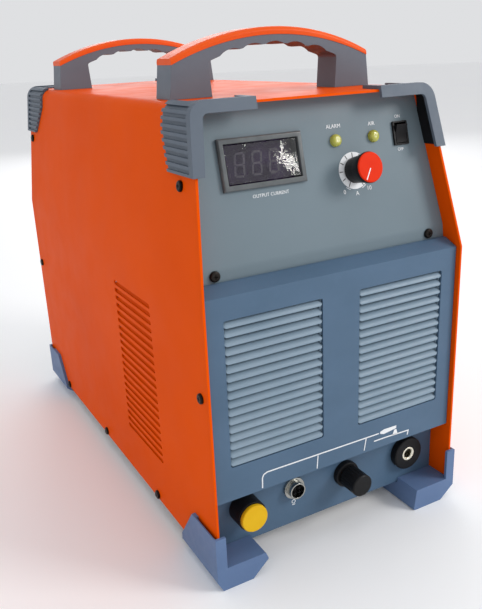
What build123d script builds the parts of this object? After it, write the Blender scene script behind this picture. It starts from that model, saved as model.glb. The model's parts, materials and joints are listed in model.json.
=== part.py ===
from build123d import *
from math import atan, cos, degrees, radians, sin, tan
import os

# Plasma cutter unit: a folded sheet casing on four moulded feet, with corner guards,
# two carrying handles, a raked control panel, a louvred bezel and a connector panel.
# Frame: +Z up, front facing -Y, origin at the middle of the footprint. Millimetres.

os.makedirs("parts", exist_ok=True)

# Casing
WIDTH = 262.0
DEPTH = 513.0
CASE_BOTTOM = 16.0
KNEE = 262.0
CASE_TOP = 402.0
SIDE_LEAN = 17.6
FRONT_LEAN = 34.3
CORNER_RADIUS = 11.0
KNEE_RADIUS = 70.0
SHEET = 2.0
FIT_GAP = 0.2

HALF = WIDTH / 2
FRONT = -DEPTH / 2
REAR = DEPTH / 2
FRONT_SLOPE = FRONT_LEAN / (CASE_TOP - KNEE)
FRONT_TILT = atan(FRONT_SLOPE)
SIDE_TILT = atan(SIDE_LEAN / (CASE_TOP - KNEE))

# Side vents: rows of slots through both walls
VENT_FRONT = FRONT + 111.0
VENT_LENGTH = 92.0
VENT_BOTTOM = 65.0
VENT_HEIGHT = 166.0
VENT_ROWS = 21
VENT_SLOT_HEIGHT = 4.4
VENT_LIP = 1.0

# Front panels
PANEL_RECESS = 17.0
PANEL_STRIP_TOP = 280.0
PANEL_BOTTOM = 257.0
PANEL_FLANGE = 26.0
BEZEL_FACE = FRONT + 4.4
BEZEL_BACK = FRONT + 26.0
BEZEL_TOP_BACK = FRONT + 21.2
BEZEL_BOTTOM = 81.0
BEZEL_RIDGE = 261.5
BEZEL_TOP = 268.0
BEZEL_WALL = 2.5
LOUVRE_INNER = 19.0
LOUVRE_OUTER = 112.0
LOUVRE_BOTTOM = 112.0
LOUVRE_TOP = 242.0
SLAT_COUNT = 17
CONNECTOR_FACE = FRONT + 26.0
CONNECTOR_SHEET = 2.5
CONNECTOR_TOP = 108.0

# Guards, feet and handles
MOULDING = 3.0
LIP = 6.5
GUARD_BOTTOM = 351.0
GUARD_TOP_LENGTH = 48.0
GUARD_ARM_END = 60.0
GUARD_ARM_DEPTH = 22.0
GUARD_RIBS = 10
RIB_PITCH = 5.6
RIB_GROOVE = 2.9
RIB_DEPTH = 1.5
FOOT_WALL_TOP = 53.0
FOOT_LENGTH = 73.0
FOOT_SHELF = 22.0
FOOT_INNER = 85.5
HANDLE_HALF = 98.0
HANDLE_FOOT_HALF = 101.0
HANDLE_DEPTH = 29.0
HANDLE_OFFSETS = {"front": FRONT + 114.5, "rear": REAR - 80.5}
HANDLE_SHOULDER = 429.0
HANDLE_CREST = 449.5
CAP_THICKNESS = 6.5
FINGER_SPAN = 64.5
FINGER_SHOULDER = 430.0
FINGER_CREST = 442.0
SCALLOPS = 5
SCALLOP_PITCH = 20.0

# Pieces on the control panel, as (across, height) of their centres
METER_CENTRE = (-52.5, 354.0)
METER_SIZE = (77.0, 41.0)
LAMP_CENTRES = ((20.4, 363.0), (60.2, 363.0))
KNOB_CENTRE = (35.5, 337.2)
ROCKER_CENTRE = (90.0, 363.0)
ROCKER_SIZE = (16.0, 20.6)
ROCKER_TILT = 12.0
PANEL_SCREWS = ((-109.0, 273.5), (109.0, 273.5))

# Connectors, as (across, height) of their axes
TORCH_AXIS = (-92.0, 55.0)
TRIGGER_AXIS = (-38.5, 55.5)
PILOT_AXIS = (20.0, 51.0)
WORK_AXIS = (93.5, 50.5)

# Rear panel
REAR_RECESS = 22.0
REAR_SHELF = 7.0
REAR_FACE = REAR - REAR_RECESS
REAR_INNER = REAR_FACE - SHEET
FAN_CENTRE = (0.0, 165.0)
FAN_SIZE = 150.0
FAN_DEPTH = 38.0
FAN_BORE = 70.0
FAN_SCREW_PITCH = 134.0
BREAKER_CENTRE = (-55.0, 325.0)
GLAND_AXIS = (60.0, 338.0)
INLET_AXIS = (60.0, 290.0)
CABLE_RADIUS = 6.25
TOGGLE_TILT = 20.0
INLET_RADIUS = 5.7

BOTTOM = (Align.CENTER, Align.CENTER, Align.MIN)
TOP = (Align.CENTER, Align.CENTER, Align.MAX)


def save(piece, name):
    """Label a finished piece and write it."""
    piece.part.label = name
    export_step(piece.part, f"parts/{name}.step")


def case_outline(inset, bottom=CASE_BOTTOM, mode=Mode.ADD):
    """The casing seen from the front, shrunk by inset, drawn in the open sketch."""
    half = HALF - inset
    top_half = half - SIDE_LEAN
    top = CASE_TOP - inset
    with BuildSketch(Plane.XY) as outline:
        Polygon(
            (-half, bottom),
            (half, bottom),
            (half, KNEE),
            (top_half, top),
            (-top_half, top),
            (-half, KNEE),
            align=None,
        )
        levels = vertices().group_by(Axis.Y)
        fillet(levels[-1], CORNER_RADIUS - inset)
        fillet(levels[1], KNEE_RADIUS)
    add(outline.sketch, mode=mode)


def panel_plane(centre, lift=0.0):
    """Plane on the raked panel's face, at (across, height), lifted off it by lift."""
    across, height = centre
    normal = Vector(0, -cos(FRONT_TILT), sin(FRONT_TILT))
    face = Vector(across, FRONT + PANEL_RECESS + FRONT_SLOPE * (height - KNEE), height)
    return Plane(origin=face + normal * lift, x_dir=(1, 0, 0), z_dir=normal)


def front_plane(axis, y):
    """Plane facing the front, with its origin at (across, height)."""
    return Plane(origin=(axis[0], y, axis[1]), x_dir=(1, 0, 0), z_dir=(0, -1, 0))


def rear_plane(axis, y):
    """Plane facing the rear, with its origin at (across, height)."""
    return Plane(origin=(axis[0], y, axis[1]), x_dir=(-1, 0, 0), z_dir=(0, 1, 0))


def spun(name, plane, profile):
    """A turned piece: profile is (radius, distance along the plane's normal) points."""
    turning = Plane(origin=plane.origin, x_dir=plane.x_dir, z_dir=-plane.y_dir)
    with BuildPart() as piece:
        with BuildSketch(turning):
            Polygon(*profile, align=None)
        revolve(axis=Axis(plane.origin, plane.z_dir))
    save(piece, name)


def screw_group(name, seats, head_radius, head_height, shank_radius, shank_length):
    """Pan-head screws with cross recesses, one on each seat plane."""
    recess = head_radius * 0.35
    with BuildPart() as group:
        with Locations(*[Location(seat) for seat in seats]):
            Cylinder(head_radius, head_height, align=BOTTOM)
            Cylinder(shank_radius, shank_length, align=TOP)
        rims = group.edges().filter_by(GeomType.CIRCLE)
        rims = [rim for rim in rims if abs(rim.radius - head_radius) < 0.01]
        lifted = [rim for rim in rims if any_far(rim.arc_center, seats, head_height)]
        fillet(lifted, head_height * 0.6)
        with Locations(*[Location(seat.offset(head_height)) for seat in seats]):
            Box(recess * 2.4, recess * 0.5, head_height, mode=Mode.SUBTRACT)
            Box(recess * 0.5, recess * 2.4, head_height, mode=Mode.SUBTRACT)
    save(group, name)


def any_far(point, seats, height):
    """True where the point is the outer centre of a head on one of the seats."""
    return any((point - seat.offset(height).origin).length < 0.01 for seat in seats)


def side_seat(side, y, height):
    """Seat plane for a screw on the casing's side, upright below the knee, raked above."""
    if height < KNEE:
        return Plane(origin=(side * HALF, y, height), z_dir=(side, 0, 0))
    across = HALF - (height - KNEE) * tan(SIDE_TILT)
    normal = (side * cos(SIDE_TILT), 0, sin(SIDE_TILT))
    return Plane(origin=(side * across, y, height), z_dir=normal)


COVER_SCREW_SPOTS = (
    (FRONT + 46.6, 342.0),
    (FRONT + 13.4, 178.0),
    (REAR - 12.0, 342.0),
    (REAR - 12.0, 178.0),
    (FRONT + 132.9, 20.6),
    (FRONT + 286.5, 20.6),
    (FRONT + 438.2, 20.6),
)
COVER_SEATS = [side_seat(side, y, z) for side in (-1, 1) for y, z in COVER_SCREW_SPOTS]
COVER_SCREW_HEAD = 4.5
COVER_SCREW_SHANK = 2.0
HANDLE_SCREW_SPOTS = [
    (across, y)
    for y in HANDLE_OFFSETS.values()
    for across in (-91.0, -73.0, 73.0, 91.0)
]
FOOT_SCREW_SPOTS = [
    (side * 108.0, end * (REAR - 40.0)) for side in (-1, 1) for end in (-1, 1)
]
FAN_SCREW_SPOTS = [
    (FAN_CENTRE[0] + sx * FAN_SCREW_PITCH / 2, FAN_CENTRE[1] + sz * FAN_SCREW_PITCH / 2)
    for sx in (-1, 1)
    for sz in (-1, 1)
]


# The whole closed volume of the casing, used to shape what wraps around it
with BuildPart() as case_volume:
    with BuildSketch(Plane.XZ.offset(REAR)):
        case_outline(0)
    extrude(amount=-DEPTH)
    with BuildSketch(Plane.YZ):
        Polygon(
            (FRONT, KNEE),
            (FRONT + FRONT_LEAN * 1.5, KNEE + (CASE_TOP - KNEE) * 1.5),
            (FRONT - 10, KNEE + (CASE_TOP - KNEE) * 1.5),
            (FRONT - 10, KNEE),
            align=None,
        )
    extrude(amount=WIDTH, both=True, mode=Mode.SUBTRACT)


def make_outer_cover():
    """Folded cover: a top and two sides in one sheet, open at front, rear and bottom."""
    with BuildPart() as cover:
        add(case_volume.part)
        with BuildSketch(Plane.XZ.offset(REAR)):
            case_outline(SHEET, bottom=-10)
        extrude(amount=-DEPTH, mode=Mode.SUBTRACT)
        with BuildSketch(Plane.YZ):
            with Locations((VENT_FRONT + VENT_LENGTH / 2, VENT_BOTTOM + VENT_HEIGHT / 2)):
                with GridLocations(1, VENT_HEIGHT / VENT_ROWS, 1, VENT_ROWS):
                    SlotOverall(VENT_LENGTH, VENT_SLOT_HEIGHT)
        extrude(amount=WIDTH, both=True, mode=Mode.SUBTRACT)
        wall = HALF - SHEET
        with BuildSketch(Plane.XZ.offset(-(VENT_FRONT + VENT_LENGTH))):
            with Locations((0, VENT_BOTTOM + VENT_HEIGHT / 2)):
                with GridLocations(1, VENT_HEIGHT / VENT_ROWS, 1, VENT_ROWS):
                    for side in (-1, 1):
                        Polygon(
                            (side * (wall + 0.6), -2.4),
                            (side * (wall + 0.6), -2.4 - VENT_LIP),
                            (side * wall, -2.4 - VENT_LIP),
                            (side * (wall - 3.6), 2.6 - VENT_LIP),
                            (side * (wall - 3.6), 2.6),
                            align=None,
                        )
        extrude(amount=VENT_LENGTH)
        with Locations(*[Location(seat) for seat in COVER_SEATS]):
            Cylinder(COVER_SCREW_SHANK + FIT_GAP, 12, mode=Mode.SUBTRACT)
        with BuildSketch(Plane.XY.offset(CASE_TOP)):
            with Locations(*HANDLE_SCREW_SPOTS):
                Circle(3.2)
        extrude(amount=-10, mode=Mode.SUBTRACT)
    save(cover, "outer_cover")


def make_base_pan():
    """Floor tray with upturned side flanges, screwed to the cover along its sides."""
    pan_half = HALF - SHEET - FIT_GAP
    floor = 1.8
    flange_height = 24.0
    start = CONNECTOR_FACE + CONNECTOR_SHEET + FIT_GAP
    length = REAR_INNER - FIT_GAP - start
    middle = start + length / 2
    with BuildPart() as pan:
        with Locations((0, middle, CASE_BOTTOM)):
            Box(pan_half * 2, length, flange_height, align=BOTTOM)
        with Locations((0, middle, CASE_BOTTOM + floor)):
            Box((pan_half - SHEET) * 2, length + 2, flange_height, align=BOTTOM, mode=Mode.SUBTRACT)
        with Locations(*[Location(seat) for seat in COVER_SEATS if seat.origin.Z < 60]):
            Cylinder(COVER_SCREW_SHANK + FIT_GAP, 20, mode=Mode.SUBTRACT)
        with Locations(*[(x, y, CASE_BOTTOM) for x, y in FOOT_SCREW_SPOTS]):
            Cylinder(2.2, 10, mode=Mode.SUBTRACT)
    save(pan, "base_pan")


def make_rear_panel():
    """Rear panel: a tray whose edges turn back towards the rear, with its openings."""
    bottom = CASE_BOTTOM + 0.2
    with BuildPart() as panel:
        with BuildSketch(Plane.XZ.offset(-REAR_INNER)):
            case_outline(SHEET + FIT_GAP, bottom)
        extrude(amount=-(REAR_RECESS + SHEET - REAR_SHELF - FIT_GAP * 2))
        with BuildSketch(Plane.XZ.offset(-REAR_FACE)):
            case_outline(SHEET * 2 + FIT_GAP, bottom + SHEET)
        extrude(amount=-REAR_RECESS, mode=Mode.SUBTRACT)
        with BuildSketch(Plane.XZ.offset(-REAR_INNER)):
            with Locations(FAN_CENTRE):
                Circle(FAN_BORE)
            with Locations(*FAN_SCREW_SPOTS):
                Circle(2.2)
            with Locations(BREAKER_CENTRE):
                Rectangle(50.4, 72.4)
            with Locations(GLAND_AXIS):
                Circle(10.2)
            with Locations(INLET_AXIS):
                Circle(8.2)
        extrude(amount=-SHEET, mode=Mode.SUBTRACT)
        with Locations(*[Location(seat) for seat in COVER_SEATS if seat.origin.Y > REAR - 20]):
            Cylinder(COVER_SCREW_SHANK + FIT_GAP, 20, mode=Mode.SUBTRACT)
    save(panel, "rear_panel")


def panel_side_view(shift):
    """Side view of the control panel's block, moved back by shift, in the open sketch."""
    strip = FRONT + PANEL_RECESS + FRONT_SLOPE * (PANEL_STRIP_TOP - KNEE) + shift
    crest = FRONT + PANEL_RECESS + FRONT_LEAN + shift
    back = PANEL_FLANGE + shift
    Polygon(
        (strip, PANEL_BOTTOM),
        (strip, PANEL_STRIP_TOP),
        (crest, CASE_TOP),
        (crest + back, CASE_TOP),
        (strip + back, PANEL_STRIP_TOP),
        (strip + back, PANEL_BOTTOM),
        align=None,
    )


def make_control_panel():
    """Raked control panel with flanges turned back, and holes for its instruments."""
    with BuildPart() as pocket:
        with BuildSketch(Plane.YZ):
            panel_side_view(SHEET)
        extrude(amount=WIDTH, both=True)
        with BuildSketch(Plane.XZ):
            case_outline(SHEET * 2 + FIT_GAP)
        extrude(amount=DEPTH, both=True, mode=Mode.INTERSECT)
    with BuildPart() as panel:
        with BuildSketch(Plane.YZ):
            panel_side_view(0)
        extrude(amount=WIDTH, both=True)
        with BuildSketch(Plane.XZ):
            case_outline(SHEET + FIT_GAP)
        extrude(amount=DEPTH, both=True, mode=Mode.INTERSECT)
        add(pocket.part, mode=Mode.SUBTRACT)
        with Locations(Location(panel_plane(METER_CENTRE))):
            Box(71.4, 36.4, 12, mode=Mode.SUBTRACT)
        with Locations(Location(panel_plane(ROCKER_CENTRE))):
            Box(14.2, 18.2, 12, mode=Mode.SUBTRACT)
        with Locations(*[Location(panel_plane(centre)) for centre in LAMP_CENTRES]):
            Cylinder(4.1, 12, mode=Mode.SUBTRACT)
        with Locations(Location(panel_plane(KNOB_CENTRE))):
            Cylinder(4.6, 12, mode=Mode.SUBTRACT)
        with Locations(*[Location(front_plane(spot, FRONT + 22)) for spot in PANEL_SCREWS]):
            Cylinder(2.2, 12, mode=Mode.SUBTRACT)
        front_upper = [s for s in COVER_SEATS if s.origin.Y < FRONT + 60 and s.origin.Z > KNEE]
        with Locations(*[Location(seat) for seat in front_upper]):
            Cylinder(COVER_SCREW_SHANK + FIT_GAP, 20, mode=Mode.SUBTRACT)
    save(panel, "control_panel")


def make_front_bezel():
    """Moulded bezel: a hollow box front with a bevelled top and two windows."""
    window = LOUVRE_OUTER - LOUVRE_INNER
    middle = (LOUVRE_OUTER + LOUVRE_INNER) / 2
    inner_face = BEZEL_FACE + BEZEL_WALL
    with BuildPart() as cavity:
        with BuildSketch(Plane.YZ):
            Polygon(
                (BEZEL_BACK + 2, BEZEL_BOTTOM + BEZEL_WALL),
                (inner_face, BEZEL_BOTTOM + BEZEL_WALL),
                (inner_face, BEZEL_RIDGE - 1),
                (FRONT + 14, BEZEL_TOP - 3.5),
                (BEZEL_TOP_BACK - BEZEL_WALL, BEZEL_TOP - 3.5),
                (BEZEL_TOP_BACK - BEZEL_WALL, PANEL_BOTTOM - 4),
                (BEZEL_BACK + 2, PANEL_BOTTOM - 4),
                align=None,
            )
        extrude(amount=WIDTH, both=True)
        with BuildSketch(Plane.XZ):
            case_outline(SHEET + 1 + BEZEL_WALL)
        extrude(amount=DEPTH, both=True, mode=Mode.INTERSECT)
    with BuildPart() as bezel:
        with BuildSketch(Plane.YZ):
            Polygon(
                (BEZEL_BACK - FIT_GAP, BEZEL_BOTTOM),
                (BEZEL_FACE, BEZEL_BOTTOM),
                (BEZEL_FACE, BEZEL_RIDGE),
                (FRONT + 17, BEZEL_TOP),
                (BEZEL_TOP_BACK, BEZEL_TOP),
                (BEZEL_TOP_BACK, PANEL_BOTTOM - 1),
                (BEZEL_BACK - FIT_GAP, PANEL_BOTTOM - 1),
                align=None,
            )
        extrude(amount=WIDTH, both=True)
        with BuildSketch(Plane.XZ):
            case_outline(SHEET + 1)
        extrude(amount=DEPTH, both=True, mode=Mode.INTERSECT)
        add(cavity.part, mode=Mode.SUBTRACT)
        with BuildSketch(Plane.XZ.offset(-BEZEL_FACE)):
            with Locations((0, (LOUVRE_TOP + LOUVRE_BOTTOM) / 2)):
                with GridLocations(middle * 2, 1, 2, 1):
                    RectangleRounded(window, LOUVRE_TOP - LOUVRE_BOTTOM, 2)
        extrude(amount=BEZEL_WALL + 1, both=True, mode=Mode.SUBTRACT)
        front_lower = [s for s in COVER_SEATS if s.origin.Y < FRONT + 60 and 60 < s.origin.Z < KNEE]
        with Locations(*[Location(seat) for seat in front_lower]):
            Cylinder(COVER_SCREW_SHANK + FIT_GAP, 24, mode=Mode.SUBTRACT)
    save(bezel, "front_bezel")


def make_louvre_inserts():
    """Two louvre inserts: sloping slats in the bezel's windows, on rails behind its wall."""
    window = LOUVRE_OUTER - LOUVRE_INNER
    middle = (LOUVRE_OUTER + LOUVRE_INNER) / 2
    pitch = (LOUVRE_TOP - LOUVRE_BOTTOM) / SLAT_COUNT
    rail_front = BEZEL_FACE + BEZEL_WALL + FIT_GAP
    with BuildPart() as inserts:
        for side in (-1, 1):
            with BuildSketch(Plane.YZ.offset(side * middle)):
                for index in range(SLAT_COUNT):
                    foot = LOUVRE_BOTTOM + pitch * (index + 0.14)
                    Polygon(
                        (BEZEL_FACE + 0.2, foot),
                        (BEZEL_FACE + 0.2, foot + 0.8),
                        (BEZEL_FACE + 4.2, foot + 5.4),
                        (BEZEL_FACE + 9.0, foot + 6.2),
                        (BEZEL_FACE + 9.0, foot + 4.4),
                        (BEZEL_FACE + 4.6, foot + 3.2),
                        (BEZEL_FACE + 1.4, foot),
                        align=None,
                    )
            extrude(amount=window / 2 - FIT_GAP, both=True)
            with Locations((side * middle, rail_front, (LOUVRE_TOP + LOUVRE_BOTTOM) / 2)):
                with GridLocations(window + 1, 1, 2, 1):
                    Box(3, 8, LOUVRE_TOP - LOUVRE_BOTTOM, align=(Align.CENTER, Align.MIN, Align.CENTER))
    save(inserts, "louvre_inserts")


def make_connector_panel():
    """Lower front sheet, set back under the bezel, that carries the four outlets."""
    half = HALF - SHEET - FIT_GAP
    bottom = CASE_BOTTOM + 1.5
    holes = ((TORCH_AXIS, 10.2), (TRIGGER_AXIS, 8.1), (PILOT_AXIS, 5.2), (WORK_AXIS, 12.2))
    with BuildPart() as panel:
        with BuildSketch(Plane.XZ.offset(-CONNECTOR_FACE)):
            with Locations((0, (bottom + CONNECTOR_TOP) / 2)):
                Rectangle(half * 2, CONNECTOR_TOP - bottom)
            for axis, radius in holes:
                with Locations(axis):
                    Circle(radius, mode=Mode.SUBTRACT)
        extrude(amount=-CONNECTOR_SHEET)
    save(panel, "connector_panel")


def guard_side_view(front):
    """Side view that a corner guard is trimmed to, in the open sketch."""
    if front:
        lead = FRONT - MOULDING / cos(FRONT_TILT)
        edge_low = lead + FRONT_SLOPE * (GUARD_BOTTOM - KNEE)
        edge_high = lead + FRONT_SLOPE * (CASE_TOP + 10 - KNEE)
        back_high = FRONT + FRONT_LEAN + GUARD_TOP_LENGTH
        Polygon(
            (edge_low, GUARD_BOTTOM),
            (edge_high, CASE_TOP + 10),
            (back_high, CASE_TOP + 10),
            (back_high, CASE_TOP - 20),
            (back_high - 16, GUARD_BOTTOM),
            align=None,
        )
    else:
        back_high = REAR - GUARD_TOP_LENGTH - 12
        Polygon(
            (REAR + MOULDING, GUARD_BOTTOM),
            (REAR + MOULDING, CASE_TOP + 10),
            (back_high, CASE_TOP + 10),
            (back_high, CASE_TOP - 20),
            (back_high + 26, GUARD_BOTTOM),
            align=None,
        )


def guard_grooves(side, front):
    """The material that the ribs' grooves take out of a guard's side skin."""
    toward_middle = 1 if front else -1
    with BuildPart() as grooves:
        for index in range(GUARD_RIBS):
            height = GUARD_BOTTOM + RIB_PITCH * (index + 0.65)
            setback = 3.5 + (FRONT_SLOPE * (height - KNEE) if front else 0.0)
            start = FRONT + setback if front else REAR - setback
            with Locations((side * HALF, start + toward_middle * 50, height)):
                Box(HALF, 100, RIB_GROOVE)
        with BuildSketch(Plane.XZ.offset(REAR + 10)):
            case_outline(-MOULDING - 1)
            case_outline(RIB_DEPTH - MOULDING, mode=Mode.SUBTRACT)
        extrude(amount=-(DEPTH + 20), mode=Mode.INTERSECT)
    return grooves.part


def make_guard(name, side, front):
    """Ribbed corner guard: wraps the side, the edge and part of the top of the casing."""
    if front:
        edge_top = FRONT + FRONT_LEAN
        arm_rear = edge_top + GUARD_ARM_DEPTH
    else:
        edge_top = REAR
        arm_rear = REAR - GUARD_ARM_DEPTH
    toward_middle = 1 if front else -1
    with BuildPart() as guard:
        with BuildSketch(Plane.YZ):
            guard_side_view(front)
        extrude(amount=side * WIDTH)
        with BuildSketch(Plane.XZ):
            case_outline(-MOULDING)
        extrude(amount=DEPTH, both=True, mode=Mode.INTERSECT)
        add(case_volume.part, mode=Mode.SUBTRACT)
        with BuildSketch(Plane.XZ):
            case_outline(LIP)
        extrude(amount=DEPTH, both=True, mode=Mode.SUBTRACT)
        with Locations((0, edge_top, CASE_TOP)):
            Box(GUARD_ARM_END * 2, DEPTH / 2, 60, mode=Mode.SUBTRACT)
        trimmed = arm_rear + toward_middle * 50
        with Locations((side * 76.0, trimmed, CASE_TOP)):
            Box(60.0, 100.0, 20.0, mode=Mode.SUBTRACT)
        add(guard_grooves(side, front), mode=Mode.SUBTRACT)
    save(guard, name)


def make_foot(name, side, end, outer_bevel, inner_bevel):
    """Corner foot: a block under the casing, a shelf before the panel and a side wall.

    outer_bevel and inner_bevel are the (across, up) sizes of the lower corners' bevels.
    """
    outer = HALF + MOULDING + 0.5
    shelf_depth = CONNECTOR_FACE - FRONT if end < 0 else REAR_SHELF
    start = REAR + MOULDING
    with BuildPart() as foot:
        with BuildSketch(Plane.XZ.offset(end * -start)):
            Polygon(
                (side * outer, FOOT_WALL_TOP),
                (side * outer, outer_bevel[1]),
                (side * (outer - outer_bevel[0]), 0),
                (side * (FOOT_INNER + inner_bevel[0]), 0),
                (side * (FOOT_INNER - 2), inner_bevel[1]),
                (side * (FOOT_INNER + 1), FOOT_SHELF),
                (side * (HALF - LIP), FOOT_SHELF),
                (side * (HALF - LIP), FOOT_WALL_TOP),
                align=None,
            )
        extrude(amount=end * FOOT_LENGTH)
        with BuildSketch(Plane.YZ):
            Polygon(
                (end * start, 0),
                (end * start, FOOT_WALL_TOP),
                (end * (start - 46), FOOT_WALL_TOP),
                (end * (start - 72), 17),
                (end * (start - 73), 7),
                (end * (start - 69), 0),
                align=None,
            )
        extrude(amount=WIDTH, both=True, mode=Mode.INTERSECT)
        kept = end * (REAR - shelf_depth)
        with Locations((0, 0, CASE_BOTTOM)):
            Box(WIDTH, abs(kept) * 2 + FIT_GAP * 2, 100, align=BOTTOM, mode=Mode.SUBTRACT)
        band = (shelf_depth + 10) / 2
        with Locations((side * HALF, end * (REAR - band), CASE_BOTTOM)):
            Box((SHEET + FIT_GAP) * 2, band * 2, 100, align=BOTTOM, mode=Mode.SUBTRACT)
        with Locations((side * (HALF - 25), end * (REAR - band), FOOT_SHELF)):
            Box(50.0 - FIT_GAP, band * 2, 60, align=BOTTOM, mode=Mode.SUBTRACT)
        with Locations((0, end * (REAR - 40.0), 0)):
            with Locations((side * 108.0, 0, 0)):
                Cylinder(2.3, 40, mode=Mode.SUBTRACT)
                Cylinder(5.5, 18, mode=Mode.SUBTRACT)
    save(foot, name)


def make_handle(name, y):
    """Handle body: two legs and an arched bridge with finger grooves underneath."""
    with BuildPart() as handle:
        with BuildSketch(Plane.XZ.offset(-y)):
            with BuildLine():
                Line((-HANDLE_FOOT_HALF, CASE_TOP), (-HANDLE_HALF, HANDLE_SHOULDER))
                ThreePointArc(
                    (-HANDLE_HALF, HANDLE_SHOULDER),
                    (0, HANDLE_CREST),
                    (HANDLE_HALF, HANDLE_SHOULDER),
                )
                Polyline(
                    (HANDLE_HALF, HANDLE_SHOULDER),
                    (HANDLE_FOOT_HALF, CASE_TOP),
                    (FINGER_SPAN - 2, CASE_TOP),
                    (FINGER_SPAN, FINGER_SHOULDER),
                )
                ThreePointArc(
                    (FINGER_SPAN, FINGER_SHOULDER),
                    (0, FINGER_CREST),
                    (-FINGER_SPAN, FINGER_SHOULDER),
                )
                Polyline(
                    (-FINGER_SPAN, FINGER_SHOULDER),
                    (-FINGER_SPAN + 2, CASE_TOP),
                    (-HANDLE_FOOT_HALF, CASE_TOP),
                )
            make_face()
            for index in range(SCALLOPS):
                across = (index - (SCALLOPS - 1) / 2) * SCALLOP_PITCH
                arch = FINGER_CREST - across ** 2 * (FINGER_CREST - FINGER_SHOULDER) / FINGER_SPAN ** 2
                with Locations((across, arch - 17.0)):
                    Circle(19.0, mode=Mode.SUBTRACT)
        extrude(amount=HANDLE_DEPTH / 2, both=True)
        within = (-HANDLE_HALF - 1, HANDLE_HALF + 1)
        outline = handle.edges().filter_by(Axis.Y).filter_by_position(Axis.X, *within)
        fillet(outline.filter_by_position(Axis.Z, FINGER_SHOULDER - 0.5, FINGER_SHOULDER + 0.5), 3)
        spots = [(x, y, CASE_TOP) for x, spot_y in HANDLE_SCREW_SPOTS if spot_y == y]
        with Locations(*spots):
            Cylinder(3.0, 14, align=BOTTOM, mode=Mode.SUBTRACT)
    save(handle, name)


def make_handle_cap(name, y):
    """Cap along the top of a handle, from end to end, with turned-down rounded ends."""
    with BuildPart() as cap:
        with BuildSketch(Plane.XZ.offset(-y)):
            with BuildLine():
                ThreePointArc(
                    (-HANDLE_HALF, HANDLE_SHOULDER),
                    (0, HANDLE_CREST),
                    (HANDLE_HALF, HANDLE_SHOULDER),
                )
                Line((HANDLE_HALF, HANDLE_SHOULDER), (HANDLE_HALF + 0.4, HANDLE_SHOULDER + 5))
                ThreePointArc(
                    (HANDLE_HALF + 0.4, HANDLE_SHOULDER + 5),
                    (0, HANDLE_CREST + CAP_THICKNESS),
                    (-HANDLE_HALF - 0.4, HANDLE_SHOULDER + 5),
                )
                Line((-HANDLE_HALF - 0.4, HANDLE_SHOULDER + 5), (-HANDLE_HALF, HANDLE_SHOULDER))
            make_face()
        extrude(amount=HANDLE_DEPTH / 2 + 0.4, both=True)
        crown = cap.edges().filter_by(Axis.Y, reverse=True).group_by(Axis.Z)[-1]
        fillet(crown, 4)
    save(cap, name)


def make_meter():
    """Panel meter: a housing with a raised frame, a display board and a clear window."""
    face = panel_plane(METER_CENTRE)
    window = (METER_SIZE[0] - 9.0, METER_SIZE[1] - 9.0)
    with BuildPart() as housing:
        with BuildSketch(face):
            Rectangle(*METER_SIZE)
        extrude(amount=4.0)
        chamfer(housing.faces().sort_by(Axis(face.origin, face.z_dir))[-1].edges(), 1.2)
        with BuildSketch(face):
            Rectangle(71, 36)
        extrude(amount=-32)
        with BuildSketch(face.offset(5)):
            Rectangle(*window)
        extrude(amount=-15, mode=Mode.SUBTRACT)
    save(housing, "meter_housing")
    with BuildPart() as display:
        with BuildSketch(face.offset(-9.8)):
            Rectangle(window[0] - 0.4, window[1] - 0.4)
        extrude(amount=2)
    save(display, "meter_display")
    with BuildPart() as pane:
        with BuildSketch(face.offset(1.8)):
            Rectangle(window[0] - 0.2, window[1] - 0.2)
        extrude(amount=1.6)
    save(pane, "meter_window")


def make_current_control():
    """Current setting: potentiometer behind the panel, its shaft, a knob and its cap."""
    face = panel_plane(KNOB_CENTRE)
    can = ((3.07, 5), (4.5, 5), (4.5, -2.1), (12, -2.1), (12, -18), (0, -18), (0, -14), (3.07, -14))
    spun("potentiometer_body", face, can)
    shaft = ((0, -13.5), (3.0, -13.5), (3.0, 18.4), (0, 18.4))
    spun("potentiometer_shaft", face, shaft)
    body = (
        (8, 1.0),
        (10.8, 1.0),
        (11.6, 12.0),
        (13.0, 20.0),
        (13.0, 22.2),
        (3.0, 22.2),
        (3.0, 8),
        (8, 8),
    )
    spun("knob_body", face, body)
    cap = ((0, 22.2), (12.6, 22.2), (12.6, 22.8), (11.9, 23.5), (0, 23.5))
    spun("knob_cap", face, cap)


def make_rocker():
    """Power rocker: a framed housing and a button that tips about a cross pin."""
    face = panel_plane(ROCKER_CENTRE)
    with BuildPart() as housing:
        with BuildSketch(face):
            RectangleRounded(*ROCKER_SIZE, 1.0)
        extrude(amount=2.0)
        with BuildSketch(face):
            Rectangle(14, 18)
        extrude(amount=-20)
        with BuildSketch(face.offset(2.5)):
            Rectangle(12.6, 17.9)
        extrude(amount=-9, mode=Mode.SUBTRACT)
    save(housing, "rocker_housing")
    across = Plane(origin=face.origin, x_dir=face.y_dir, z_dir=face.x_dir)
    with BuildPart() as button:
        with BuildSketch(across):
            with Locations(Rotation(0, 0, ROCKER_TILT)):
                Polygon(
                    (-8, 3.8),
                    (0, 2.2),
                    (8, 3.8),
                    (7.6, 1),
                    (3, -3),
                    (-3, -3),
                    (-7.6, 1),
                    align=None,
                )
        extrude(amount=6.0, both=True)
    save(button, "rocker_button")


def make_indicator_lenses():
    """Two domed indicator lenses with stubs through the panel."""
    faces = [panel_plane(centre) for centre in LAMP_CENTRES]
    with BuildPart() as lenses:
        with Locations(*[Location(face) for face in faces]):
            Cylinder(5.2, 4.4, align=BOTTOM)
            Cylinder(4.0, 8, align=TOP)
        rims = [edge for edge in lenses.edges().filter_by(GeomType.CIRCLE)
                if any_far(edge.arc_center, faces, 4.4)]
        fillet(rims, 3.0)
    save(lenses, "indicator_lenses")


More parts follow.
